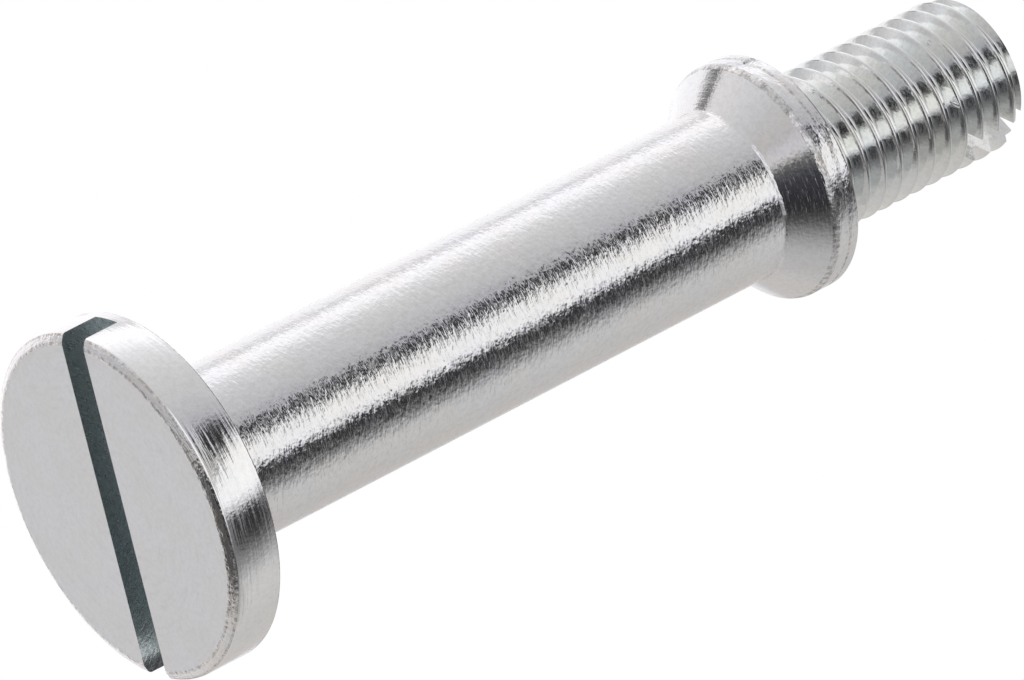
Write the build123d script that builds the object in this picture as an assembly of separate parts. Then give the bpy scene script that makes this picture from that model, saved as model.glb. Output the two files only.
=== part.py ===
"""Slotted guide screw: one piece of round steel bar, turned, threaded, slotted and plated.

The screw stands on the flat of its head. The origin is the middle of that flat, +Z runs up the
screw to its threaded end, and the driving slot lies along X. All sizes are in millimetres.

From the head up: a thin disc head with a driving slot, a plain guide shank, a short cone that
opens to a collar, and a threaded end with a saw slot across it. The fine thread is held as the
plain cylinder that its crests touch, so a nut or a tapped hole can be set against it.
"""

from build123d import *

import os

# Head
head_diameter = 16.4
head_thickness = 2.55
head_full_rim = 0.85
head_rim_taper = 0.15
head_bevel = 0.2
driving_slot_width = 1.6
driving_slot_depth = 2.0

# Guide shank
shank_diameter = 8.25
shank_length = 32.9
shank_corner_radius = 0.2

# Collar
cone_length = 1.65
collar_diameter = 11.45
collar_land = 1.35
collar_edge_radius = 0.15

# Threaded end, M8 x 1, measured across its flat crests
thread_diameter = 7.64
thread_length = 12.25
tip_taper_length = 0.95
tip_taper = 0.3
tip_chamfer = 0.2
end_slot_width = 1.6
end_slot_depth = 3.35
end_slot_angle = 130.0

# Every other turned edge is only broken
edge_break = 0.08

head_radius = head_diameter / 2
face_radius = head_radius - head_rim_taper
shank_radius = shank_diameter / 2
collar_radius = collar_diameter / 2
thread_radius = thread_diameter / 2
tip_radius = thread_radius - tip_taper

cone_start = head_thickness + shank_length
cone_end = cone_start + cone_length
collar_back = cone_end + collar_land
tip_height = collar_back + thread_length


def turned_blank():
    """The bar as it leaves the lathe: half its section, turned once about the axis."""
    with BuildPart() as blank:
        with BuildSketch(Plane.XZ):
            with BuildLine():
                Polyline(
                    (0, 0),
                    (face_radius, 0),
                    (head_radius, head_thickness - head_full_rim),
                    (head_radius, head_thickness),
                    (shank_radius, head_thickness),
                    (shank_radius, cone_start),
                    (collar_radius, cone_end),
                    (collar_radius, collar_back),
                    (thread_radius, collar_back),
                    (thread_radius, tip_height - tip_taper_length),
                    (tip_radius, tip_height),
                    (0, tip_height),
                    close=True,
                )
            make_face()
        revolve(axis=Axis.Z)

        def rim(height, radius):
            """The circular edge at this height and radius."""
            circles = blank.edges().filter_by(GeomType.CIRCLE)
            here = circles.filter_by_position(Axis.Z, height - 0.001, height + 0.001)
            return here.sort_by(lambda edge: abs(edge.radius - radius))[0]

        chamfer(rim(0, face_radius), head_bevel)
        chamfer(rim(head_thickness, head_radius), edge_break)
        chamfer(rim(tip_height, tip_radius), tip_chamfer)
        fillet(rim(head_thickness, shank_radius), shank_corner_radius)
        fillet(rim(cone_end, collar_radius), collar_edge_radius)
        fillet(rim(collar_back, collar_radius), collar_edge_radius)
    return blank.part


def saw_cut(width, depth, length, height, angle):
    """The block that a slitting saw clears: square walls, a flat floor and open ends."""
    cut = Box(length, width, depth, align=(Align.CENTER, Align.CENTER, Align.MIN))
    return Pos(0, 0, height) * Rot(0, 0, angle) * cut


guide_screw = turned_blank()
guide_screw -= saw_cut(driving_slot_width, driving_slot_depth, head_diameter * 1.2, 0, 0)
guide_screw -= saw_cut(
    end_slot_width,
    end_slot_depth,
    thread_diameter * 1.2,
    tip_height - end_slot_depth,
    end_slot_angle,
)

os.makedirs("parts", exist_ok=True)
export_step(guide_screw, "parts/guide_screw.step")
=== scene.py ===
"""Slotted guide screw: how the turned, threaded, slotted and plated screw looks."""

import math

import bmesh
import bpy
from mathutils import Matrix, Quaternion, Vector


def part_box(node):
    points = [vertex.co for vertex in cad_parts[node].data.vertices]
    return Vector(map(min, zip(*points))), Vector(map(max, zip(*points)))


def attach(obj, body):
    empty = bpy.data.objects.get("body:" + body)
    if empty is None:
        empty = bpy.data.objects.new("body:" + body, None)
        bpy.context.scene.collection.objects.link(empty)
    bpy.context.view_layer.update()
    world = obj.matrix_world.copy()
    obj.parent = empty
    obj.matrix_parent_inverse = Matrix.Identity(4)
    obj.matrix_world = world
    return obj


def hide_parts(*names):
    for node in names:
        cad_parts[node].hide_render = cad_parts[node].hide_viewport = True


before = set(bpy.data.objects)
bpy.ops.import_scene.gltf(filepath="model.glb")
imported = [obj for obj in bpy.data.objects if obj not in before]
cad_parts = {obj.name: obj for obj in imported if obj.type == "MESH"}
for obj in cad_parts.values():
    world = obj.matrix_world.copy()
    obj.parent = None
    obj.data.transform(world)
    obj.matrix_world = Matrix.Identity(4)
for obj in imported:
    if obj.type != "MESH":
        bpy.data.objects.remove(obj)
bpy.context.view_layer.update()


# ---------------------------------------------------------------- the turned blank
# The real screw is one length of round free-cutting steel bar. The lathe leaves a thin disc head,
# a plain guide shank and a short cone that opens to a collar. Each rim is only lightly rounded.

MM = 0.001
same_place = 0.002 * MM
lathe_steps = 192

_, high_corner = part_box("guide_screw")
head_radius = high_corner.x
tip_height = high_corner.z
head_thickness = 2.55 * MM
face_radius = head_radius - 0.44 * MM
bevel_radius = head_radius - 0.04 * MM
bevel_height = 0.18 * MM
rim_taper = 0.01 * MM
taper_start = 0.32 * MM
taper_end = 1.4 * MM
shank_radius = 4.125 * MM
cone_start = head_thickness + 32.9 * MM
cone_end = cone_start + 1.65 * MM
collar_radius = 5.725 * MM
collar_back = cone_end + 1.35 * MM
scored_line = cone_end + 0.8 * MM
score_reach = 0.07 * MM
score_depth = 0.02 * MM
core_radius = 2.0 * MM


def draw_line(name, points):
    """A chain of edges in the XZ plane, drawn by extruding one point from place to place."""
    bpy.ops.object.select_all(action="DESELECT")
    bpy.ops.mesh.primitive_plane_add(size=MM, location=(0, 0, 0))
    piece = bpy.context.object
    piece.name = name
    bpy.ops.object.mode_set(mode="EDIT")
    bpy.ops.mesh.select_mode(type="VERT")
    bpy.ops.mesh.select_all(action="SELECT")
    bpy.ops.mesh.merge(type="CENTER")
    radius, height = points[0]
    bpy.ops.transform.translate(value=(radius, 0, height))
    for next_radius, next_height in points[1:]:
        move = (next_radius - radius, 0, next_height - height)
        bpy.ops.mesh.extrude_region_move(TRANSFORM_OT_translate={"value": move})
        radius, height = next_radius, next_height
    bpy.ops.object.mode_set(mode="OBJECT")
    return piece


def turn_on_lathe(name, points):
    """A closed solid of revolution about Z from half its section."""
    piece = draw_line(name, points)
    bpy.ops.object.mode_set(mode="EDIT")
    bpy.ops.mesh.select_all(action="SELECT")
    bpy.ops.mesh.spin(steps=lathe_steps, angle=math.tau, center=(0, 0, 0), axis=(0, 0, 1))
    bpy.ops.mesh.select_all(action="SELECT")
    bpy.ops.mesh.remove_doubles(threshold=same_place)
    bpy.ops.mesh.normals_make_consistent(inside=False)
    bpy.ops.object.mode_set(mode="OBJECT")
    return piece


def round_rim(piece, radius, height, size, segments):
    """Bevels the circular edge at this radius and height."""
    bpy.ops.object.mode_set(mode="EDIT")
    bpy.ops.mesh.select_mode(type="EDGE")
    bpy.ops.mesh.select_all(action="DESELECT")
    mesh = bmesh.from_edit_mesh(piece.data)
    for edge in mesh.edges:
        on_rim = [
            abs(corner.co.xy.length - radius) < same_place and abs(corner.co.z - height) < same_place
            for corner in edge.verts
        ]
        edge.select_set(all(on_rim))
    bmesh.update_edit_mesh(piece.data)
    bpy.ops.mesh.bevel(offset_type="OFFSET", offset=size, segments=segments, profile=0.5)
    bpy.ops.object.mode_set(mode="OBJECT")


screw = turn_on_lathe(
    "screw",
    [
        (0, 0),
        (face_radius, 0),
        (bevel_radius, bevel_height),
        (head_radius - rim_taper, taper_start),
        (head_radius, taper_end),
        (head_radius, head_thickness),
        (shank_radius, head_thickness),
        (shank_radius, cone_start),
        (collar_radius, cone_end),
        (collar_radius, scored_line - score_reach),
        (collar_radius - score_depth, scored_line),
        (collar_radius, scored_line + score_reach),
        (collar_radius, collar_back),
        (core_radius, collar_back),
        (0, collar_back),
    ],
)
round_rim(screw, face_radius, 0, size=0.08 * MM, segments=3)
round_rim(screw, bevel_radius, bevel_height, size=0.1 * MM, segments=3)
round_rim(screw, head_radius, head_thickness, size=0.08 * MM, segments=3)
round_rim(screw, shank_radius, head_thickness, size=0.2 * MM, segments=3)
round_rim(screw, shank_radius, cone_start, size=0.12 * MM, segments=4)
round_rim(screw, collar_radius, cone_end, size=0.2 * MM, segments=4)
round_rim(screw, collar_radius, collar_back, size=0.12 * MM, segments=3)


# ---------------------------------------------------------------- the thread
# A right-hand M8 x 1 thread, cut up to the collar. Its crests are flat and lightly worn, its roots
# are rounded, and the end is chamfered so that it starts easily in its hole.

pitch = 1.0 * MM
crest_radius = 3.82 * MM
thread_depth = 0.61 * MM
root_radius = crest_radius - thread_depth
flank_angle = math.radians(30)
flank_run = thread_depth * math.tan(flank_angle)
crest_flat = 0.1 * MM
crest_round = 0.048 * MM
root_round = 0.03 * MM
corner_segments = 3
helix_steps = 128
helix_shift = 0.11 * MM
turns_before = 2
turns_after = 1
seat_depth = 0.3 * MM
trim_spare = 0.1 * MM
lead_length = 0.95 * MM
lead_depth = 0.22 * MM
chamfer_length = 0.25 * MM
chamfer_depth = 0.5 * MM
tool_bottom = collar_back - 1.0 * MM
tool_clearance = 0.2 * MM
tool_flare = 1.5 * MM


def cut_with(piece, tool, operation):
    """Applies a boolean with a tool, which is used up."""
    bpy.ops.object.select_all(action="DESELECT")
    bpy.context.view_layer.objects.active = piece
    piece.select_set(True)
    cut = piece.modifiers.new("cut", "BOOLEAN")
    cut.operation = operation
    cut.solver = "EXACT"
    cut.object = tool
    bpy.ops.object.modifier_apply(modifier="cut")
    bpy.data.objects.remove(tool)


def round_corners(piece, radius, size, segments):
    """Rounds the corners of a drawn line that stand at this radius."""
    bpy.ops.object.mode_set(mode="EDIT")
    bpy.ops.mesh.select_mode(type="VERT")
    bpy.ops.mesh.select_all(action="DESELECT")
    mesh = bmesh.from_edit_mesh(piece.data)
    for corner in mesh.verts:
        corner.select_set(abs(corner.co.x - radius) < same_place and len(corner.link_edges) == 2)
    bmesh.update_edit_mesh(piece.data)
    bpy.ops.mesh.bevel(affect="VERTICES", offset=size, segments=segments, profile=0.5)
    bpy.ops.object.mode_set(mode="OBJECT")


def trim_level(height, keep_above):
    """Cuts the mesh being edited level at this height."""
    bpy.ops.mesh.select_all(action="SELECT")
    bpy.ops.mesh.bisect(
        plane_co=(0, 0, height),
        plane_no=(0, 0, 1),
        clear_inner=keep_above,
        clear_outer=not keep_above,
    )


turns = math.ceil((tip_height - collar_back) / pitch) + turns_before + turns_after
first_crest = collar_back - turns_before * pitch + helix_shift
half_crest = crest_flat / 2
near_root = 0.2
near_crest = 0.88
profile = [
    (root_radius, pitch / 2),
    (root_radius, half_crest + flank_run),
    (root_radius + near_root * thread_depth, half_crest + (1 - near_root) * flank_run),
    (root_radius + near_crest * thread_depth, half_crest + (1 - near_crest) * flank_run),
    (crest_radius, half_crest),
]
lower_half = [(radius, first_crest - offset) for radius, offset in profile]
upper_half = [(radius, first_crest + offset) for radius, offset in reversed(profile)]
thread = draw_line("thread", lower_half + upper_half)
round_corners(thread, crest_radius, crest_round, corner_segments)
round_corners(thread, root_radius, root_round, corner_segments)
helix = thread.modifiers.new("helix", "SCREW")
helix.axis = "Z"
helix.angle = math.tau
helix.screw_offset = pitch
helix.iterations = turns
helix.steps = helix_steps
helix.render_steps = helix_steps
bpy.ops.object.modifier_apply(modifier="helix")

bpy.ops.object.mode_set(mode="EDIT")
bpy.ops.mesh.select_all(action="SELECT")
bpy.ops.mesh.remove_doubles(threshold=same_place)
trim_level(collar_back - seat_depth, keep_above=True)
trim_level(tip_height + trim_spare, keep_above=False)
bpy.ops.mesh.select_all(action="SELECT")
bpy.ops.mesh.fill_holes(sides=0)
bpy.ops.mesh.select_all(action="SELECT")
bpy.ops.mesh.normals_make_consistent(inside=False)
bpy.ops.object.mode_set(mode="OBJECT")

chamfer_tool = turn_on_lathe(
    "chamfer_tool",
    [
        (0, tool_bottom),
        (crest_radius + tool_clearance, tool_bottom),
        (crest_radius + tool_clearance, tip_height - tool_flare),
        (crest_radius, tip_height - lead_length),
        (crest_radius - lead_depth, tip_height - chamfer_length),
        (crest_radius - chamfer_depth, tip_height),
        (0, tip_height),
    ],
)
cut_with(thread, chamfer_tool, "INTERSECT")
cut_with(screw, thread, "UNION")


# ---------------------------------------------------------------- the saw slots
# Two slots are sawn with the same slitting saw: the driving slot across the head, and a deeper one
# across the threaded end, turned 130 degrees from it.

slot_width = 1.6 * MM
driving_slot_depth = 2.0 * MM
end_slot_depth = 3.35 * MM
end_slot_angle = math.radians(130)
blade_run_out = 2.0 * MM


def saw_blade(length, height, depth, angle):
    """The block of metal that one pass of the saw takes away."""
    bpy.ops.object.select_all(action="DESELECT")
    bpy.ops.mesh.primitive_cube_add(size=1, location=(0, 0, height))
    blade = bpy.context.object
    blade.scale = (length, slot_width, depth)
    blade.rotation_euler = (0, 0, angle)
    bpy.ops.object.transform_apply(location=True, rotation=True, scale=True)
    return blade


head_blade = saw_blade(
    length=2 * head_radius + blade_run_out,
    height=(driving_slot_depth - blade_run_out) / 2,
    depth=driving_slot_depth + blade_run_out,
    angle=0,
)
cut_with(screw, head_blade, "DIFFERENCE")
end_blade = saw_blade(
    length=2 * crest_radius + blade_run_out,
    height=tip_height - (end_slot_depth - blade_run_out) / 2,
    depth=end_slot_depth + blade_run_out,
    angle=end_slot_angle,
)
cut_with(screw, end_blade, "DIFFERENCE")


# ---------------------------------------------------------------- the knocks
# Loose handling in a bin of screws has left a dent on the collar's land, a pit in one flank of the
# thread and a burr across one of its crests. The finished metal is then shaded smooth.

finest_gap = 0.0003 * MM
crease_angle = math.radians(32)


def small_lump(angle, radius, height, size, twist):
    """An oval lump on the surface. Its half sizes in mm are outwards, round the screw and along it."""
    bpy.ops.object.select_all(action="DESELECT")
    bpy.ops.mesh.primitive_ico_sphere_add(subdivisions=3, radius=1)
    lump = bpy.context.object
    lump.scale = [half * MM for half in size]
    bpy.ops.object.transform_apply(location=False, rotation=False, scale=True)
    lump.rotation_euler = (twist, 0, 0)
    bpy.ops.object.transform_apply(location=False, rotation=True, scale=False)
    lump.rotation_euler = (0, 0, angle)
    lump.location = (radius * math.cos(angle), radius * math.sin(angle), height)
    bpy.ops.object.transform_apply(location=True, rotation=True, scale=False)
    return lump


dent = small_lump(math.radians(6.2), collar_radius, 38.0 * MM, size=(0.16, 0.26, 0.34), twist=0.3)
cut_with(screw, dent, "DIFFERENCE")
pit = small_lump(math.radians(29.7), 3.42 * MM, 47.36 * MM, size=(0.11, 0.11, 0.11), twist=0)
cut_with(screw, pit, "DIFFERENCE")
burr = small_lump(math.radians(81.5), 3.69 * MM, 46.56 * MM, size=(0.12, 0.36, 0.1), twist=0.7)
cut_with(screw, burr, "UNION")

bpy.ops.object.select_all(action="DESELECT")
bpy.context.view_layer.objects.active = screw
screw.select_set(True)
bpy.ops.object.mode_set(mode="EDIT")
bpy.ops.mesh.select_all(action="SELECT")
bpy.ops.mesh.remove_doubles(threshold=finest_gap)
bpy.ops.object.mode_set(mode="OBJECT")
bpy.ops.object.shade_smooth_by_angle(angle=crease_angle)
even = screw.modifiers.new("even", "WEIGHTED_NORMAL")
even.keep_sharp = True
even.weight = 100
bpy.ops.object.modifier_apply(modifier="even")


# ---------------------------------------------------------------- the plating
# Bright zinc over the turned steel. The lathe's fine lines show through it, round every turned
# surface and as rings on the head's face. In the slots and along worn rims it is duller, and in the
# driving slot it is painted darker and bluer, as painted shade in the slot.


def add_node(tree, kind, inputs, **settings):
    """A shader node with these settings; each input takes another node's output or a plain value."""
    node = tree.nodes.new(kind)
    for setting, value in settings.items():
        setattr(node, setting, value)
    for name, source in inputs.items():
        if isinstance(source, bpy.types.NodeSocket):
            tree.links.new(source, node.inputs[name])
        else:
            node.inputs[name].default_value = source
    return node


def maths(tree, operation, *values):
    """What one maths node makes of these outputs or plain values."""
    return add_node(tree, "ShaderNodeMath", dict(enumerate(values)), operation=operation).outputs[0]


def mixed(tree, one, other, factor=1, blend="MIX"):
    """Two colours, blended by this factor."""
    sockets = {"Factor": factor, "A": one, "B": other}
    mix = add_node(tree, "ShaderNodeMix", sockets, data_type="RGBA", blend_type=blend)
    return mix.outputs["Result"]


def noise(tree, place, scale, detail=2.0, roughness=0.5):
    """Cloudy noise over this place."""
    sockets = {"Vector": place, "Scale": scale, "Detail": detail, "Roughness": roughness}
    return add_node(tree, "ShaderNodeTexNoise", sockets).outputs["Fac"]


def between(tree, level, start, end, curve="SMOOTHSTEP"):
    """Goes from 0 to 1 as the level goes from start to end."""
    sockets = {"Value": level, "From Min": start, "From Max": end}
    return add_node(tree, "ShaderNodeMapRange", sockets, interpolation_type=curve).outputs["Result"]


def lathe_lines_group():
    """The fine lines that a lathe leaves round the axis, with grain, dull patches, stains and specks."""
    group = bpy.data.node_groups.new("lathe_lines", "ShaderNodeTree")
    for name in ("Lines", "Breaks", "Grain", "Grain Share"):
        group.interface.new_socket(name, in_out="INPUT", socket_type="NodeSocketFloat")
    for name in ("Height", "Dull", "Warm", "Speck"):
        group.interface.new_socket(name, in_out="OUTPUT", socket_type="NodeSocketFloat")
    values = group.nodes.new("NodeGroupInput").outputs
    place = group.nodes.new("ShaderNodeTexCoord").outputs["Object"]
    apart = add_node(group, "ShaderNodeSeparateXYZ", {0: place}).outputs
    flat = add_node(group, "ShaderNodeCombineXYZ", {"X": apart["X"], "Y": apart["Y"]}).outputs[0]
    radius = add_node(group, "ShaderNodeVectorMath", {0: flat}, operation="LENGTH").outputs["Value"]

    # Height and radius added up grow along the shank and across the face alike, so the lines cross both.
    along = maths(group, "ADD", apart["Z"], radius)
    fine = maths(group, "MULTIPLY", along, values["Lines"])
    sockets = {0: flat, "Scale": values["Breaks"]}
    around = add_node(group, "ShaderNodeVectorMath", sockets, operation="SCALE").outputs[0]
    lift = add_node(group, "ShaderNodeCombineXYZ", {"Z": fine}).outputs[0]
    spot = add_node(group, "ShaderNodeVectorMath", {0: around, 1: lift}, operation="ADD").outputs[0]

    lines = noise(group, spot, scale=1.0, roughness=0.6)
    grain = noise(group, place, scale=values["Grain"], detail=1.0)
    sockets = {0: spot, 1: (9.7, 3.1, 5.3)}
    elsewhere = add_node(group, "ShaderNodeVectorMath", sockets, operation="ADD").outputs[0]
    patches = noise(group, elsewhere, scale=1.6)
    stains = noise(group, place, scale=0.35 / MM, detail=3.0)
    dust = noise(group, place, scale=4.0 / MM, roughness=0.7)
    results = {
        "Height": maths(group, "MULTIPLY_ADD", grain, values["Grain Share"], lines),
        "Dull": between(group, patches, 0.42, 0.75),
        "Warm": between(group, stains, 0.4, 0.62),
        "Speck": between(group, dust, 0.4, 0.75, curve="LINEAR"),
    }
    add_node(group, "NodeGroupOutput", results)
    return group


lathe_lines = lathe_lines_group()


def plated_metal(name, cool, warm, speck, polish, lines, breaks, depth, grain, grain_share):
    """Zinc-plated steel with the lathe's lines in it, from clean cool patches to warmer stained ones.

    Polish is the roughness from bright to dull. Lines, breaks and grain are so many to a millimetre.
    """
    material = bpy.data.materials.new(name)
    material.use_nodes = True
    tree = material.node_tree
    marks = tree.nodes.new("ShaderNodeGroup")
    marks.node_tree = lathe_lines
    marks.inputs["Lines"].default_value = lines / MM
    marks.inputs["Breaks"].default_value = breaks / MM
    marks.inputs["Grain"].default_value = grain / MM
    marks.inputs["Grain Share"].default_value = grain_share
    bright, dull = polish
    sockets = {"Value": marks.outputs["Dull"], "To Min": bright, "To Max": dull}
    dullness = add_node(tree, "ShaderNodeMapRange", sockets)
    stained = mixed(tree, (*cool, 1), (*warm, 1), factor=marks.outputs["Warm"])
    speckled = mixed(tree, stained, (*speck, 1), factor=marks.outputs["Speck"])
    sockets = {"Strength": 1.0, "Distance": depth, "Height": marks.outputs["Height"]}
    bump = add_node(tree, "ShaderNodeBump", sockets)
    metal = tree.nodes["Principled BSDF"]
    metal.inputs["Metallic"].default_value = 1.0
    tree.links.new(dullness.outputs["Result"], metal.inputs["Roughness"])
    tree.links.new(speckled, metal.inputs["Base Color"])
    tree.links.new(bump.outputs["Normal"], metal.inputs["Normal"])
    return material


cool_zinc = (0.875, 0.875, 0.89)
warm_zinc = (0.885, 0.87, 0.855)
zinc_speck = (0.79, 0.785, 0.78)
turned = plated_metal(
    "turned_zinc", cool_zinc, warm_zinc, zinc_speck, polish=(0.1, 0.25),
    lines=5.0, breaks=1.5, depth=0.036 * MM, grain=5.0, grain_share=0.36,
)
faced = plated_metal(
    "faced_zinc", (0.84, 0.84, 0.85), (0.84, 0.835, 0.825), (0.78, 0.78, 0.78), polish=(0.38, 0.45),
    lines=4.0, breaks=0.6, depth=0.002 * MM, grain=6.0, grain_share=0.5,
)
threaded = plated_metal(
    "threaded_zinc", (0.88, 0.9, 0.905), (0.895, 0.9, 0.875), (0.8, 0.81, 0.79), polish=(0.08, 0.16),
    lines=3.0, breaks=1.5, depth=0.006 * MM, grain=5.0, grain_share=0.6,
)
# The driving slot's walls and floor get a darker, bluer zinc than the rest: painted shade in the slot,
# over a rougher sawn finish.
sawn_with_painted_shade = plated_metal(
    "sawn_zinc_painted_shade", (0.74, 0.79, 0.8), (0.74, 0.78, 0.78), (0.62, 0.66, 0.67), polish=(0.2, 0.3),
    lines=4.0, breaks=1.5, depth=0.014 * MM, grain=5.0, grain_share=0.8,
)
sawn_end = plated_metal(
    "sawn_end_zinc", (0.86, 0.865, 0.86), (0.865, 0.86, 0.84), (0.75, 0.75, 0.73), polish=(0.13, 0.25),
    lines=3.0, breaks=1.5, depth=0.01 * MM, grain=5.0, grain_share=0.6,
)
rim = plated_metal(
    "rim_zinc", (0.94, 0.935, 0.94), (0.945, 0.935, 0.92), (0.86, 0.855, 0.85), polish=(0.1, 0.22),
    lines=4.5, breaks=0.3, depth=0.022 * MM, grain=6.0, grain_share=0.25,
)
collar = plated_metal(
    "collar_zinc", cool_zinc, warm_zinc, zinc_speck, polish=(0.1, 0.22),
    lines=5.0, breaks=1.0, depth=0.01 * MM, grain=6.0, grain_share=0.6,
)
worn = plated_metal(
    "worn_zinc", (0.85, 0.84, 0.84), (0.87, 0.83, 0.79), (0.32, 0.31, 0.3), polish=(0.15, 0.35),
    lines=6.0, breaks=1.5, depth=0.03 * MM, grain=5.0, grain_share=1.0,
)

across_end = Vector((-math.sin(end_slot_angle), math.cos(end_slot_angle), 0))
slot_reach = slot_width / 2 + same_place
squarely = 0.999
rim_wear = 0.1 * MM
bevel_wear = 0.06 * MM
back_wear = 0.08 * MM
collar_wear = 0.2 * MM
score_wear = 0.1 * MM
cone_bottom = cone_start + 0.1 * MM
cone_top = cone_end - 0.14 * MM


def is_sawn_head(middle, normal):
    """Whether a face is a wall or the floor of the driving slot."""
    inside = abs(middle.y) < slot_reach and same_place < middle.z < driving_slot_depth + same_place
    return inside and (abs(normal.y) > squarely or normal.z < -squarely)


def is_sawn_end(middle, normal):
    """Whether a face is a wall or the floor of the slot across the threaded end."""
    slot_floor = tip_height - end_slot_depth
    inside = abs(middle.dot(across_end)) < slot_reach
    inside = inside and slot_floor - same_place < middle.z < tip_height - same_place
    return inside and (abs(normal.dot(across_end)) > squarely or normal.z > squarely)


def is_worn(radius, height):
    """Whether a place is on a rim where the plating has rubbed thin, or in the scored line."""
    on_face_rim = abs(radius - face_radius) < rim_wear and height < bevel_height / 2
    on_bevel_rim = abs(height - bevel_height) < bevel_wear
    on_back_rim = radius > head_radius - rim_wear and abs(height - head_thickness) < back_wear
    on_collar_rim = abs(height - cone_end) < collar_wear
    in_scored_line = abs(height - scored_line) < score_wear
    return on_face_rim or on_bevel_rim or on_back_rim or on_collar_rim or in_scored_line


def finish_of(face):
    """The finish of the surface that a face of the screw belongs to."""
    height = face.center.z
    # Faces in the driving slot take the darker zinc with the painted shade.
    if is_sawn_head(face.center, face.normal):
        return sawn_with_painted_shade
    if is_sawn_end(face.center, face.normal):
        return sawn_end
    if height > collar_back + same_place:
        return threaded
    if height < same_place:
        return faced
    if cone_bottom < height < cone_top:
        return collar
    if is_worn(face.center.xy.length, height):
        return worn
    if bevel_height < height < head_thickness - same_place:
        return rim
    return turned


finishes = (turned, faced, threaded, sawn_with_painted_shade, sawn_end, rim, collar, worn)
screw.data.materials.clear()
for finish in finishes:
    screw.data.materials.append(finish)
for face in screw.data.polygons:
    face.material_index = finishes.index(finish_of(face))

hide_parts("guide_screw")
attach(screw, "root")


# ---------------------------------------------------------------- the table
# The screw stands on its head on a matt pale table. Only the upper side of the table is painted, so
# that nothing hides the head from below, and the bright metal doesn't mirror it.

table_width = 3.0
table_drop = 0.02 * MM


def table_paint():
    """Pale paint on the upper side, and nothing to see from below."""
    paint = bpy.data.materials.new("table_paint")
    paint.use_nodes = True
    tree = paint.node_tree
    coat = tree.nodes["Principled BSDF"]
    coat.inputs["Base Color"].default_value = (0.82, 0.82, 0.82, 1)
    coat.inputs["Roughness"].default_value = 0.9
    clear = tree.nodes.new("ShaderNodeBsdfTransparent")
    below = tree.nodes.new("ShaderNodeNewGeometry").outputs["Backfacing"]
    sockets = {"Fac": below, 1: coat.outputs[0], 2: clear.outputs[0]}
    one_sided = add_node(tree, "ShaderNodeMixShader", sockets)
    tree.links.new(one_sided.outputs[0], tree.nodes["Material Output"].inputs["Surface"])
    return paint


bpy.ops.object.select_all(action="DESELECT")
bpy.ops.mesh.primitive_plane_add(size=table_width, location=(0, 0, -table_drop))
table = bpy.context.object
table.name = "table"
table.visible_glossy = False
table.visible_shadow = False
table.data.materials.append(table_paint())


# ---------------------------------------------------------------- the light boxes
# Rings of pale boxes with darker gaps stand round the screw, one ring over the other, for the bright
# metal to mirror, with a tall leaning window in the upper ring and a dark ceiling. The room is a
# little warmer on some sides than on others, and behind the screw the camera sees plain white.

camera_side = math.radians(65.0)
camera_rise = math.radians(-31.86)

world = bpy.data.worlds.new("studio")
bpy.context.scene.world = world
world.use_nodes = True
studio = world.node_tree
direction = studio.nodes.new("ShaderNodeTexCoord").outputs["Generated"]
parts = add_node(studio, "ShaderNodeSeparateXYZ", {0: direction}).outputs
bearing = maths(studio, "SUBTRACT", maths(studio, "ARCTAN2", parts["Y"], parts["X"]), camera_side)

# How far a direction is above the height that the upright shank mirrors to the camera.
above_middle = maths(studio, "ADD", maths(studio, "ARCSINE", parts["Z"]), camera_rise)


def ring_of_boxes(stops, bearing=bearing):
    """Light round the screw: degrees from the camera's side, each with a level or red, green and blue."""
    wrapped = maths(studio, "WRAP", bearing, math.pi, -math.pi)
    share = between(studio, wrapped, -math.pi, math.pi, curve="LINEAR")
    ramp = add_node(studio, "ShaderNodeValToRGB", {"Fac": share})
    elements = ramp.color_ramp.elements
    while len(elements) < len(stops):
        elements.new(1.0)
    for element, (degrees, *levels) in zip(elements, stops):
        red, green, blue = levels if len(levels) == 3 else levels * 3
        element.position = (degrees + 180) / 360
        element.color = (red, green, blue, 1)
    return ramp.outputs["Color"]


def blended_over(ring, next_ring, blend_start, blend_end):
    """One ring of boxes over another, blended between two heights above the horizon, in degrees."""
    lower_edge = math.sin(math.radians(blend_start))
    upper_edge = math.sin(math.radians(blend_end))
    return mixed(studio, ring, next_ring, factor=between(studio, parts["Z"], lower_edge, upper_edge))


# Stretches that more than one ring has.
back_boxes = [
    (-180, 1.14), (-150, 1.04), (-132, 1.0), (-126, 0.76), (-120, 0.68), (-114, 1.12), (-103, 1.14),
    (-94, 1.02), (-84, 0.80), (-66, 0.67), (-40, 0.57),
]
back_corner = [(162, 0.58), (172, 0.90), (180, 1.14)]
low_back = [(-180, 0.70), (-158, 0.62), (-141, 0.52), (-131, 0.62)]
one_side = [(-117, 0.82), (-85, 0.70), (-56, 0.58)]
wide_box = [(-40, 0.6), (-30, 0.95), (30, 0.95), (45, 0.4), (60, 0.08)]
other_side = [(68, 0.08), (78, 0.21), (91, 0.39), (103, 0.49), (120, 0.52), (146, 0.60)]

deep_ring = [
    (-180, 0.2), (-160, 0.4), (-140, 0.5), (-56, 0.58), (-30, 0.51), (-8, 0.66), (-2, 0.35),
    (4, 0.12), (20, 0.05), (58, 0.03), (78, 0.15), (100, 0.08), (150, 0.08), (180, 0.2),
]
lower_gap = [
    (-30, 0.51), (-20, 0.62), (-8, 0.66), (-2, 0.35), (4, 0.12), (20, 0.05), (40, 0.03), (58, 0.03),
]
lower_ring = low_back + one_side + lower_gap + other_side + [(180, 0.70)]
lower_tint = [
    (-180, 1, 1, 1), (-60, 1, 1, 1), (-40, 1.045, 1, 0.95), (0, 1.03, 1, 0.97),
    (20, 0.95, 0.98, 1.25), (60, 1, 1, 1), (180, 1, 1, 1),
]
middle_ring = low_back + one_side + wide_box + other_side + [(180, 0.70)]
level_back = [(-180, 0.9), (-150, 1.04), (-136, 1.02), (-131, 0.30), (-121, 0.16)]
level_ring = level_back + one_side + wide_box + other_side + [(180, 0.9)]
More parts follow.
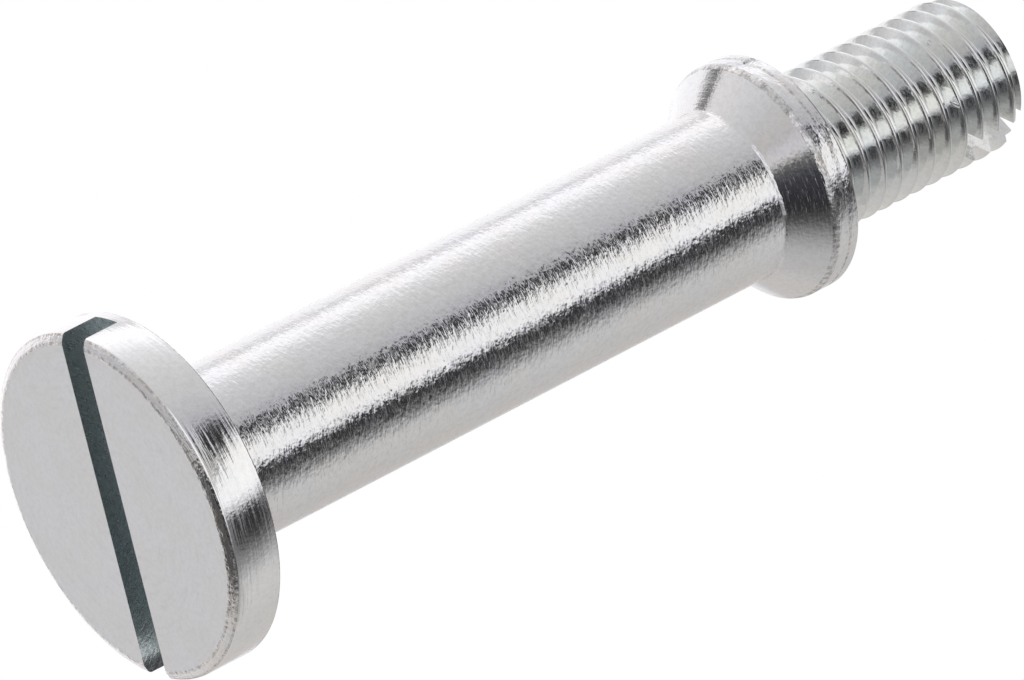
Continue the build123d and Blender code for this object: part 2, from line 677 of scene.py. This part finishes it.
upper_front = [
    (-24, 0.5), (-20, 0.62), (0, 0.62), (24, 0.4), (36, 0.2), (52, 0.14), (66, 0.26), (76, 0.42),
    (98, 0.44), (108, 0.58), (150, 0.58),
]
upper_ring = back_boxes + upper_front + back_corner
gap_front = [
    (-24, 0.46), (-18, 0.04), (-8, 0.02), (36, 0.03), (47, 0.03), (54, 0.06), (66, 0.28), (79, 0.58),
    (90, 0.61), (120, 0.55), (150, 0.55),
]
gap_ring = back_boxes + gap_front + back_corner
gap_reach = math.radians(7)
gap_fade = math.radians(15)
window_lean = 0.9
leaning_edge = [(-180, 0), (-8, 0), (-2, 0.3), (3, 0.95), (26, 1.0), (90, 1.0), (100, 0), (180, 0)]
upright_edge = [(-180, 0), (-60, 0), (-50, 1.0), (27, 1.0), (33, 0.6), (37, 0.05), (41, 0), (180, 0)]
ceiling = (0.13, 0.105, 0.09, 1)
room_tint = [
    (-180, 1.01, 1, 1.02), (-120, 1.01, 1, 1.03), (-56, 1.005, 1, 1.01), (-30, 1, 1, 1.04),
    (-16, 1, 1, 1.08), (0, 1, 1, 1), (20, 1, 1, 0.995), (38, 1, 1, 1.07), (60, 1, 1, 1.02),
    (104, 1.01, 1, 0.99), (150, 1.035, 1, 0.975), (180, 1.01, 1, 1.02),
]

lower = mixed(studio, ring_of_boxes(lower_ring), ring_of_boxes(lower_tint), blend="MULTIPLY")

# The dark gap is a low slot in the upper ring. The window leans over both.
outside_gap = between(studio, maths(studio, "ABSOLUTE", above_middle), gap_reach, gap_fade)
upper = mixed(studio, ring_of_boxes(gap_ring), ring_of_boxes(upper_ring), factor=outside_gap)
leaning_bearing = maths(studio, "MULTIPLY_ADD", above_middle, window_lean, bearing)
window_edge = ring_of_boxes(leaning_edge, bearing=leaning_bearing)
window = mixed(studio, window_edge, ring_of_boxes(upright_edge), blend="MULTIPLY")
upper = mixed(studio, upper, window, blend="LIGHTEN")

room = ring_of_boxes(deep_ring)
room = blended_over(room, lower, -58, -42)
room = blended_over(room, ring_of_boxes(middle_ring), -38, -32)
room = blended_over(room, ring_of_boxes(level_ring), -28, -20)
room = blended_over(room, upper, -10, -3)
room = blended_over(room, ceiling, 55, 68)
room = mixed(studio, room, ring_of_boxes(room_tint), blend="MULTIPLY")

boxes = studio.nodes["Background"]
studio.links.new(room, boxes.inputs["Color"])
white = add_node(studio, "ShaderNodeBackground", {"Color": (1, 1, 1, 1)})
to_camera = studio.nodes.new("ShaderNodeLightPath").outputs["Is Camera Ray"]
sockets = {"Fac": to_camera, 1: boxes.outputs[0], 2: white.outputs[0]}
seen = add_node(studio, "ShaderNodeMixShader", sockets)
studio.links.new(seen.outputs[0], studio.nodes["World Output"].inputs["Surface"])


# ---------------------------------------------------------------- the lamp and the camera
# One broad soft lamp hangs overhead and throws the screw's shadow on the table. The camera looks up
# at the head from below, rolled so that the screw lies across the view.

lamp_place = (0, 0, 0.5)
lamp_lean = (math.radians(25), math.radians(-20), 0)
lamp_strength = 1.35
lamp_spread = math.radians(35)
camera_roll = math.radians(-62.78)
camera_distance = 436.6 * MM
camera_lens = 345.9
sensor_width = 36
aim = Vector((-1.237, 0.581, 21.934)) * MM

bpy.ops.object.light_add(type="SUN", location=lamp_place, rotation=lamp_lean)
lamp = bpy.context.object
lamp.name = "ceiling_lamp"
lamp.data.energy = lamp_strength
lamp.data.angle = lamp_spread
lamp.visible_glossy = False

camera_data = bpy.data.cameras.new("camera")
camera_data.lens = camera_lens
camera_data.sensor_width = sensor_width
camera_data.clip_start = 0.01
camera_data.clip_end = 10
camera = bpy.data.objects.new("camera", camera_data)
bpy.context.scene.collection.objects.link(camera)
toward_camera = Vector((
    math.cos(camera_side) * math.cos(camera_rise),
    math.sin(camera_side) * math.cos(camera_rise),
    math.sin(camera_rise),
))
camera.location = aim + toward_camera * camera_distance
camera.rotation_mode = "QUATERNION"
level = (-toward_camera).to_track_quat("-Z", "Y")
camera.rotation_quaternion = level @ Quaternion((0, 0, 1), -camera_roll)
bpy.context.scene.camera = camera
bpy.context.scene.view_settings.view_transform = "Standard"
